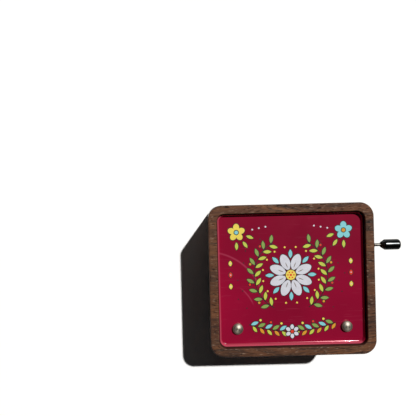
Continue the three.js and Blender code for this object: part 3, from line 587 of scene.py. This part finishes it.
def stem(bm, at, radius, low, high, width):
    """A curved black stroke of even width, between two angles about its centre."""
    known = set(bm.faces)
    ends = [bm.verts.new((radius + side * width / 2, 0, tray_floor)) for side in (-1, 1)]
    edge = bm.edges.new(ends)
    bmesh.ops.rotate(bm, matrix=Matrix.Rotation(math.radians(low), 3, "Z"), verts=ends)
    bmesh.ops.spin(
        bm, geom=[*ends, edge], axis=(0, 0, 1), cent=(0, 0, 0), angle=math.radians(high - low),
        steps=max(4, int(abs(high - low) / 3)),
    )
    faces = [face for face in bm.faces if face not in known]
    corners = {vertex for face in faces for vertex in face.verts}
    bmesh.ops.translate(bm, vec=(*at, 0), verts=list(corners))
    thicken(bm, faces, "black", 1)


def around(centre, radius, angle):
    """The point at this angle on a circle."""
    turn = math.radians(angle)
    return centre[0] + radius * math.cos(turn), centre[1] + radius * math.sin(turn)


bm = bmesh.new()
for petal in range(8):
    turn = 22.5 + 45 * petal
    outlined(bm, heart, rosette_petal, "white", turn)
    blot(bm, heart, petal_vein, "grey", 3, turn)
    outlined(bm, heart, rosette_tip, "teal", turn + 22.5)
outlined(bm, heart, dot(4.0), "yellow", coat=3)
for seed in range(6):
    blot(bm, around(heart, seed_ring, 60 * seed), dot(0.6), "vermilion", 5, steps=10)
blot(bm, heart, dot(0.9), "vermilion", 5, steps=12)
for bead in range(16):
    blot(bm, around(heart, bead_ring, 11.25 + 22.5 * bead), dot(0.75), "yellow", 2, steps=10)
for side in (-1, 1):
    half_way = 0 if side > 0 else 180
    stem(bm, heart, wreath_radius, half_way - wreath_half, half_way + wreath_half, wreath_stem)
    for leaf in range(wreath_leaves):
        angle = leaf_step * (leaf - wreath_leaves // 2)
        for way, ink in ((1, "leaf"), (-1, "lime")):
            turn = angle + 90 - way * wreath_slant
            spot = around(heart, wreath_radius, angle + 2 * way)
            if side < 0:
                turn, spot = 180 - turn, (-spot[0], spot[1])
            outlined(bm, spot, wreath_leaf, ink, turn)
    for berry in range(4):
        spot = around(heart, berry_radius, berry_from + berry_step * berry)
        ink = "vermilion" if berry % 2 else "amber"
        outlined(bm, (side * spot[0], spot[1]), dot(berry_size), ink)
    corner = (side * corner_x, corner_y)
    for petal in range(5):
        outlined(bm, corner, corner_petal, "teal" if side > 0 else "yellow", 90 + 72 * petal)
    outlined(bm, corner, dot(1.5), "amber" if side > 0 else "teal", coat=3)
    for leaf, reach in ((200, 5.6), (270, 5.4), (235, 5.9)):
        turn = leaf if side > 0 else 180 - leaf
        outlined(bm, corner, (*spray_leaf, reach), "lime", turn)
    for spark in range(3):
        spot = (side * (spark_x + spark_step * spark), spark_y - spark_fall * spark)
        blot(bm, spot, dot(0.7), "white", 2, steps=10)
    for diamond in range(3):
        spot = (side * diamond_x, diamond_y - diamond_step * diamond)
        outlined(bm, spot, diamond_shape, ("yellow", "vermilion", "yellow")[diamond], 90)
        blot(bm, spot, dot(0.45), "white", 3, steps=8)
stem(bm, swag, drop, 270 - swag_half, 270 + swag_half, swag_stem)
for leaf in range(swag_leaves):
    on_left = leaf < swag_leaves / 2
    angle = swag_from + swag_span * leaf / (swag_leaves - 1) + (-knot_room if on_left else knot_room)
    upper, lower = ("leaf", "amber") if leaf % 2 else ("teal", "lime")
    slant = swag_slant if on_left else 180 - swag_slant
    outlined(bm, around(swag, drop, angle), upper_leaf, upper, angle + 90 + slant)
    outlined(bm, around(swag, drop, angle + 1), lower_leaf, lower, angle + 90 - slant)
for berry in (0, 1, 2, 4, 5, 6):
    spot = around(swag, drop - berry_rise, 255 + 5 * berry)
    outlined(bm, spot, dot(berry_size), "vermilion" if berry % 2 else "yellow")
for petal in range(6):
    outlined(bm, knot, knot_petal, "white", 30 + 60 * petal, coat=3)
outlined(bm, knot, dot(1.3), "vermilion", coat=5)
for speck in range(26):
    spot = around(speck_centre, speck_reach + speck_step * speck, golden_angle * speck)
    if speck_low < spot[1] < speck_high and abs(spot[0]) < speck_side:
        size = dot(0.45, length=0.5 + 0.04 * (speck % 5))
        blot(bm, spot, size, "black", 1, golden_angle * speck, steps=7)
bmesh.ops.recalc_face_normals(bm, faces=bm.faces)
design = mesh_of("tray_print", bm)
fit(design, "box", "red_enamel", *[ink_finish(*ink) for ink in inks.items()])

# Mount screws
# Two domed steel screws, turned from bar and left bright, that hold the movement under the tray.
# The lathe's rings still show on the heads, round the small dimple of its centre.
head_radius, head_rim, head_dome, dimple = 2.1, 0.65, 1.0, 0.22
shank_radius, shank_break, head_break = 1.2, 0.2, 0.1
seat_below_top = 1.35
dome_steps = 12


def turned_rings():
    """Fine uneven rings that a lathe leaves, along each turned piece's outline."""
    out = [("Height", "Float"), ("Tone", "Float")]
    tree, takes, gives = group("turned rings", out, [("Pitch", "Float", 0.1)])
    along = put(tree, "Attribute", attribute_name="turning").outputs["Fac"]
    count = work(tree, "DIVIDE", along, takes["Pitch"])
    for label, scale, detail in (("Height", 1.0, 2.0), ("Tone", 0.21, 1.0)):
        feeds = {"W": count, "Scale": scale, "Detail": detail}
        feed(tree, gives, {label: put(tree, "TexNoise", feeds, noise_dimensions="1D").outputs[0]})
    return tree


rings_of_lathe = turned_rings()


def spread_across_rings(tree, surface, amount):
    """Draws each highlight out across the lathe's rings, as on any turned face."""
    way = put(tree, "Attribute", attribute_name="round").outputs["Vector"]
    feed(tree, surface, {"Anisotropic": amount, "Anisotropic Rotation": 0.25, "Tangent": way})


def turned_metal(name, dark, bright, roughness, pitch, cut):
    """A turned metal: its rings catch the light, and smudges dull it here and there."""
    material, tree, surface = finish_of(name, Metallic=1.0)
    spread_across_rings(tree, surface, 0.5)
    ring = place(tree, rings_of_lathe, Pitch=pitch)
    marks = place(tree, wear, Scale=4.0)
    toned = stain(tree, between(tree, ring["Tone"], 0.3, 0.7), tone(dark), tone(bright))
    scratched = stain(tree, marks["Scratches"], toned, tone(bright), 0.3)
    dulled = uneven(tree, roughness, marks["Smudges"], 0.16)
    wire_up(tree, surface, scratched, dulled, relief(tree, ring["Height"], cut, 0.7))
    return material


def lathe(bm, outline, line, along="Z", steps=72):
    """A turned solid from its outline of (radius, height) points, about a line along Z or X."""
    known = set(bm.verts)
    points = [bm.verts.new((radius, 0, height)) for radius, height in outline]
    edges = [bm.edges.new(pair) for pair in zip(points, points[1:])]
    bmesh.ops.spin(
        bm, geom=points + edges, axis=(0, 0, 1), cent=(0, 0, 0), angle=2 * math.pi,
        steps=steps, use_merge=True,
    )
    made = [vertex for vertex in bm.verts if vertex not in known]
    bmesh.ops.remove_doubles(bm, verts=made, dist=0.0001)
    made = [vertex for vertex in bm.verts if vertex not in known]
    if along == "X":
        bmesh.ops.rotate(bm, matrix=Matrix.Rotation(math.pi / 2, 3, "Y"), verts=made)
    bmesh.ops.translate(bm, vec=line, verts=made)
    bmesh.ops.recalc_face_normals(bm, faces=bm.faces)


def mark_turning(piece, centre, axis):
    """Notes how far along its outline each point of a turned piece lies, and which way it turned."""
    axis = Vector(axis)
    marks = piece.data.attributes.new("turning", "FLOAT", "POINT").data
    ways = piece.data.attributes.new("round", "FLOAT_VECTOR", "POINT").data
    for mark, way, vertex in zip(marks.values(), ways.values(), piece.data.vertices.values()):
        away = vertex.co / mm - Vector(centre)
        height = away.dot(axis)
        mark.value = height - (away - height * axis).length
        way.vector = axis.cross(away).normalized()


head_steel = turned_metal("turned steel", "857d73", "b8af9f", 0.45, 0.1, 0.03)
for side, spot in mount_screws.items():
    low, high = box_mm("mount_screw_" + side)
    seat = high.z - seat_below_top
    rim_height = seat + head_rim
    turns = [math.pi / 2 * step / dome_steps for step in range(dome_steps)]
    screw_outline = [
        (0, low.z), (shank_radius - shank_break, low.z), (shank_radius, low.z + shank_break),
        (shank_radius, seat), (head_radius - head_break, seat), (head_radius, seat + head_break),
        *[(head_radius * math.cos(turn), rim_height + head_dome * math.sin(turn)) for turn in turns],
        (0, rim_height + head_dome - dimple),
    ]
    bm = bmesh.new()
    lathe(bm, screw_outline, (spot.x, spot.y, 0))
    screw = mesh_of("mount_screw_steel_" + side, bm)
    mark_turning(screw, (spot.x, spot.y, seat), (0, 0, 1))
    fit(screw, "box", "turned_steel", head_steel, stands_for=["mount_screw_" + side])

# Wall bush
# A brass bush, nickel-plated, pressed into the crank's wall. Its flange is a thin disc with a
# turned-over edge, and the shaft runs in its bore.
bush_low, bush_high = box_mm("wall_bush")
flange_radius, flange_height, flange_edge = (bush_high.z - bush_low.z) / 2, 0.8, 0.3
face_radius, face_dish = 3.7, 0.02
barrel_radius, barrel_break, bush_bore, bore_round = 3.1, 0.2, 1.62, 0.25


def turned_along_x(name, outline, line, start, steps):
    """A piece turned about a line along x, with its rings counted from where it starts."""
    bm = bmesh.new()
    lathe(bm, outline, (0, line.y, line.z), "X", steps)
    piece = mesh_of(name, bm)
    mark_turning(piece, (start, line.y, line.z), (1, 0, 0))
    return piece


flange_seat = bush_high.x - flange_height
edge_centre = flange_radius - flange_edge, flange_seat + flange_edge
bore_centre = bush_bore + bore_round, bush_high.x - bore_round
bush_outline = [
    (bush_bore, bush_low.x), (barrel_radius - barrel_break, bush_low.x),
    (barrel_radius, bush_low.x + barrel_break), (barrel_radius, flange_seat),
    (flange_radius, flange_seat), *arc(edge_centre, flange_edge, 0, 75, 5),
    (face_radius, bush_high.x - face_dish), *arc(bore_centre, bore_round, 90, 180, 5),
    (bush_bore, bush_low.x),
]
bush = turned_along_x("bush_nickelled", bush_outline, shaft_line, flange_seat, 72)
nickel = turned_metal("bright nickel", "a8a49c", "cfccc6", 0.16, 0.16, 0.006)
fit(bush, "box", "nickel", nickel, stands_for=["wall_bush"])

# Crank arm and pin
# A die-cast arm with ground faces: a hub that screws on the shaft's end, and a strap that tapers to
# the pin. Black nickel over polished facets. The edges are paler: partly worn plating and partly a
# painted highlight.
arm_low, arm_high = box_mm("crank_arm")
pin_line = middle_mm("knob_pin")
hub_radius, hub_facets, hub_break = 2.0, 8, 0.2
tip_radius, end_facets, strap_height, arm_chamfer = 1.7, 16, 2.3, 0.45
shaft_hole, shaft_depth, pin_hole = 3.2, 3.3, 1.4
worn_round, worn_angle, worn_lit_edge_finish, same_place = 0.12, 30, 1, 0.001


def plated_black(name, dark, bright, pitch, cut, spread=0.0):
    """Black nickel, bright where a light strikes it, and paler along its scratches."""
    grey = (0.15, 0.15, 0.15, 1)
    material, tree, surface = finish_of(name, Metallic=1.0, Specular_Tint=grey)
    if spread:
        spread_across_rings(tree, surface, spread)
    marks = place(tree, wear, Scale=3.0)
    film = between(tree, mottle(tree, in_mm(tree), 0.4, 2.0), 0.35, 0.7)
    plated = stain(tree, film, tone(dark), tone(bright))
    scratched = stain(tree, marks["Scratches"], plated, tone("7d7a7c"), 0.35)
    ring = place(tree, rings_of_lathe, Pitch=pitch)
    dulled = uneven(tree, 0.2, marks["Smudges"], 0.1)
    wire_up(tree, surface, scratched, dulled, relief(tree, ring["Height"], cut, 0.5))
    return material


bm = bmesh.new()
for end_z, radius in ((shaft_line.z, hub_radius), (pin_line.z, tip_radius)):
    upright = Matrix.Rotation(math.pi / 2, 4, "Y")
    spot = Matrix.Translation((arm_low.x, shaft_line.y, end_z))
    bmesh.ops.create_circle(bm, segments=end_facets, radius=radius, matrix=spot @ upright)
bmesh.ops.convex_hull(bm, input=bm.verts[:], use_existing_faces=False)
bmesh.ops.dissolve_limit(bm, angle_limit=0.01, verts=bm.verts, edges=bm.edges)
strap_face = max(bm.faces, key=lambda face: face.calc_area())
others = [face for face in bm.faces if face is not strap_face]
bmesh.ops.delete(bm, geom=others, context="FACES_ONLY")
draw_out(bm, [strap_face], (strap_height, 0, 0))
bmesh.ops.recalc_face_normals(bm, faces=bm.faces)
front_x = arm_low.x + strap_height
at_front = {vertex for vertex in bm.verts if abs(vertex.co.x - front_x) < same_place}
front_edges = [edge for edge in bm.edges if at_front.issuperset(edge.verts)]
bevel(bm, front_edges, arm_chamfer, steps=1, material=worn_lit_edge_finish)
strap = mesh_of("crank_arm_plated", bm)
hub_outline = [
    (0, arm_low.x), (hub_radius - hub_break, arm_low.x), (hub_radius, arm_low.x + hub_break),
    (hub_radius, arm_high.x - arm_chamfer), (hub_radius - arm_chamfer, arm_high.x), (0, arm_high.x),
]
bm = bmesh.new()
lathe(bm, hub_outline, (0, shaft_line.y, shaft_line.z), "X", hub_facets)
hub = mesh_of("hub", bm)
join = strap.modifiers.new("cast in one", "BOOLEAN")
join.operation, join.solver, join.object = "UNION", "EXACT", hub
arm_back = arm_low.x - overrun
shaft_bore = drill(shaft_hole, run_along_x(shaft_line, arm_back, arm_low.x + shaft_depth))
pin_bore = drill(pin_hole, run_along_x(pin_line, arm_back, arm_high.x + overrun))
cut_away(strap, shaft_bore, pin_bore)
bpy.data.objects.remove(hub)
bm = bmesh.new()
bm.from_mesh(strap.data)
bmesh.ops.remove_doubles(bm, verts=bm.verts, dist=0.00001)
sharp_edges = [
    edge for edge in bm.edges
    if edge.is_manifold and edge.calc_face_angle() > math.radians(worn_angle)
]
bevel(bm, sharp_edges, worn_round * mm, steps=3, material=worn_lit_edge_finish, clamp=True)
bm.to_mesh(strap.data)
bm.free()
mark_turning(strap, (arm_low.x, shaft_line.y, shaft_line.z), (1, 0, 0))
arm_black = plated_black("black nickel, ground", "4a4a53", "5d5c68", 0.3, 0.004)
# Paler edges: worn plating, and a painted highlight on the chamfers.
arm_edges_worn_and_lit = plated_black("black nickel, worn and highlighted on the edges", "7f8085", "a3a4a8", 0.3, 0.004)
fit(strap, "crank", "dark_nickel", arm_black, arm_edges_worn_and_lit, stands_for=["crank_arm"], sharp=28)

pin_low, pin_high = box_mm("knob_pin")
pin_radius, pin_break = (pin_high.y - pin_low.y) / 2, 0.1
pin_outline = [
    (0, pin_low.x), (pin_radius - pin_break, pin_low.x), (pin_radius, pin_low.x + pin_break),
    (pin_radius, pin_high.x - pin_break), (pin_radius - pin_break, pin_high.x), (0, pin_high.x),
]
pin = turned_along_x("knob_pin_turned", pin_outline, pin_line, pin_low.x, 40)
pin_steel = turned_metal("drawn steel", "4b4844", "65615b", 0.28, 0.16, 0.006)
fit(pin, "crank", "dark_nickel", pin_steel, stands_for=["knob_pin"])

# Knob
# A turned and polished bar, black-nickelled: a plain cylinder with a rounded end and a cone behind.
# It is bored from the cone's side and spins on the pin.
knob_low, knob_high = box_mm("crank_knob")
knob_radius, knob_end = (knob_high.z - knob_low.z) / 2, 0.9
cone_length, cone_radius, cone_break, cone_edge = 1.6, 1.1, 0.08, 0.06
knob_bore, bore_depth, bore_break = 0.72, 5.4, 0.1
bore_end, cone_end = knob_low.x + bore_depth, knob_low.x + cone_length
end_centre = knob_radius - knob_end, knob_high.x - knob_end
knob_outline = [
    (0, bore_end), (knob_bore, bore_end), (knob_bore, knob_low.x + bore_break),
    (knob_bore + bore_break, knob_low.x), (cone_radius - cone_break, knob_low.x),
    (cone_radius, knob_low.x + cone_break), (knob_radius - cone_edge, cone_end - cone_break),
    (knob_radius, cone_end + cone_edge), *arc(end_centre, knob_end, 0, 90, 10), (0, knob_high.x),
]
knob = turned_along_x("knob_polished", knob_outline, pin_line, knob_low.x, 96)
knob_black = plated_black("black nickel, polished", "3d3f40", "4c4e4e", 0.25, 0.002, spread=0.3)
fit(knob, "knob", "dark_nickel", knob_black, stands_for=["crank_knob"])

# Movement
# The plain parts inside: die-cast zinc plate, brackets and plugs, a brass cylinder and wheel, a
# hardened comb with a ground face, and turned steel for the shafts and small screws.


def cast_zinc():
    """Zinc as it leaves the die, with a cloudy skin and a few scratches."""
    material, tree, surface = finish_of("cast zinc", Metallic=1.0)
    skin = mottle(tree, in_mm(tree), 1.3, 4.0, 0.6)
    marks = place(tree, wear, Scale=1.5)
    grey = shades(tree, skin, (0.3, tone("76787b")), (0.7, tone("a4a6a8")))
    scratched = stain(tree, marks["Scratches"], grey, tone("c8c9ca"), 0.3)
    wire_up(tree, surface, scratched, uneven(tree, 0.34, skin, 0.25), relief(tree, skin, 0.03, 0.6))
    return material


def machined(name, dark, bright, roughness, stretch, scale):
    """A metal with the fine straight lines of a file or a grinding wheel."""
    material, tree, surface = finish_of(name, Metallic=1.0)
    lines = mottle(tree, in_mm(tree, stretch), scale, 3.0, 0.6)
    marks = place(tree, wear, Scale=2.0)
    stained = shades(tree, marks["Smudges"], (0.3, tone(dark)), (0.65, tone(bright)))
    wire_up(tree, surface, stained, uneven(tree, roughness, lines, 0.2), relief(tree, lines, 0.012, 0.6))
    return material


zinc = cast_zinc()
brass = machined("turned brass", "9c7a30", "c9a352", 0.18, (1, 0.05, 1), 6.0)
comb_steel = machined("ground spring steel", "6f7175", "a2a4a8", 0.2, (0.05, 1, 1), 7.0)
plain_steel = machined("plain steel", "67645f", "a19d97", 0.22, (1, 1, 1), 3.0)
inner_finishes = {
    zinc: ["bedplate", "gear_bridge", "tail_bracket", "cylinder_plug_tail", "cylinder_plug_gear"],
    brass: ["cylinder", "worm_wheel"],
    comb_steel: ["comb"],
    plain_steel: [
        "bridge_screw_left", "bridge_screw_right", "tail_screw_left", "tail_screw_right",
        "comb_screw_left", "comb_screw_right", "cylinder_arbor", "crank_shaft", "worm", "shaft_clip",
    ],
}
for finish, names in inner_finishes.items():
    for name in names:
        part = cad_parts[name]
        part.data.materials.clear()
        part.data.materials.append(finish)

# Floor, light and camera
# A pale table, one distant key from the upper right, a faint soft panel beyond the far side, and a
# camera that looks straight down from where the photograph was taken.
table_half = 2500
camera_spot, camera_roll = (-32.5, 27.7, 200), -1.4
key_way, panel_way, panel_distance = (0.3, 0.4, 0.863), (0.1, 0.75, 0.66), 0.9
lights_aim = Vector((0, 0, 0.02))
bm = bmesh.new()
bmesh.ops.create_grid(bm, x_segments=1, y_segments=1, size=table_half)
floor = mesh_of("floor", bm)
pale, tree, surface = finish_of("pale paper", Roughness=0.9)
paper = mottle(tree, in_mm(tree), 0.004, 2.0)
feed(tree, surface, {"Base Color": shades(tree, paper, (0.3, tone("f7f7f6")), (0.7, tone("fafaf9")))})
floor.data.materials.append(pale)

scene = bpy.context.scene
scene.view_settings.view_transform = "Standard"
scene.world = scene.world or bpy.data.worlds.new("studio")
scene.world.use_nodes = True
tree = scene.world.node_tree
sky = tree.nodes["Background"]
feed(tree, sky.inputs, {"Color": (0.85, 0.92, 1.0, 1.0), "Strength": 0.01})
backdrop = put(tree, "Background", {"Color": tone("dcdedf"), "Strength": 1.0}).outputs[0]
in_view = put(tree, "LightPath").outputs["Is Camera Ray"]
studio = put(tree, "MixShader", {0: in_view, 1: sky.outputs[0], 2: backdrop}).outputs[0]
feed(tree, tree.nodes["World Output"].inputs, {"Surface": studio})


def hang(name, light, way, distance=1.0):
    """Hangs a light up in this direction, turned to the box."""
    stand = bpy.data.objects.new(name, light)
    scene.collection.objects.link(stand)
    direction = Vector(way).normalized()
    stand.location = direction * distance + lights_aim
    stand.rotation_euler = direction.to_track_quat("Z", "Y").to_euler()


key = bpy.data.lights.new("key", "SUN")
key.energy, key.angle, key.color = 3.95, math.radians(1.1), (1, 0.99, 0.972)
hang("key", key, key_way)
panel = bpy.data.lights.new("far panel", "AREA")
panel.shape, panel.size, panel.size_y = "RECTANGLE", 0.4, 0.22
panel.energy, panel.color = 0.18, (1, 0.98, 0.95)
hang("far panel", panel, panel_way, panel_distance)

roll = math.radians(camera_roll)
lens = bpy.data.cameras.new("camera")
lens.sensor_width, lens.lens, lens.clip_start = 36, 36, 0.005
camera = bpy.data.objects.new("camera", lens)
scene.collection.objects.link(camera)
camera.location = Matrix.Rotation(roll, 3, "Z") @ Vector(camera_spot) * mm
camera.rotation_euler = (0, 0, roll)
scene.camera = camera
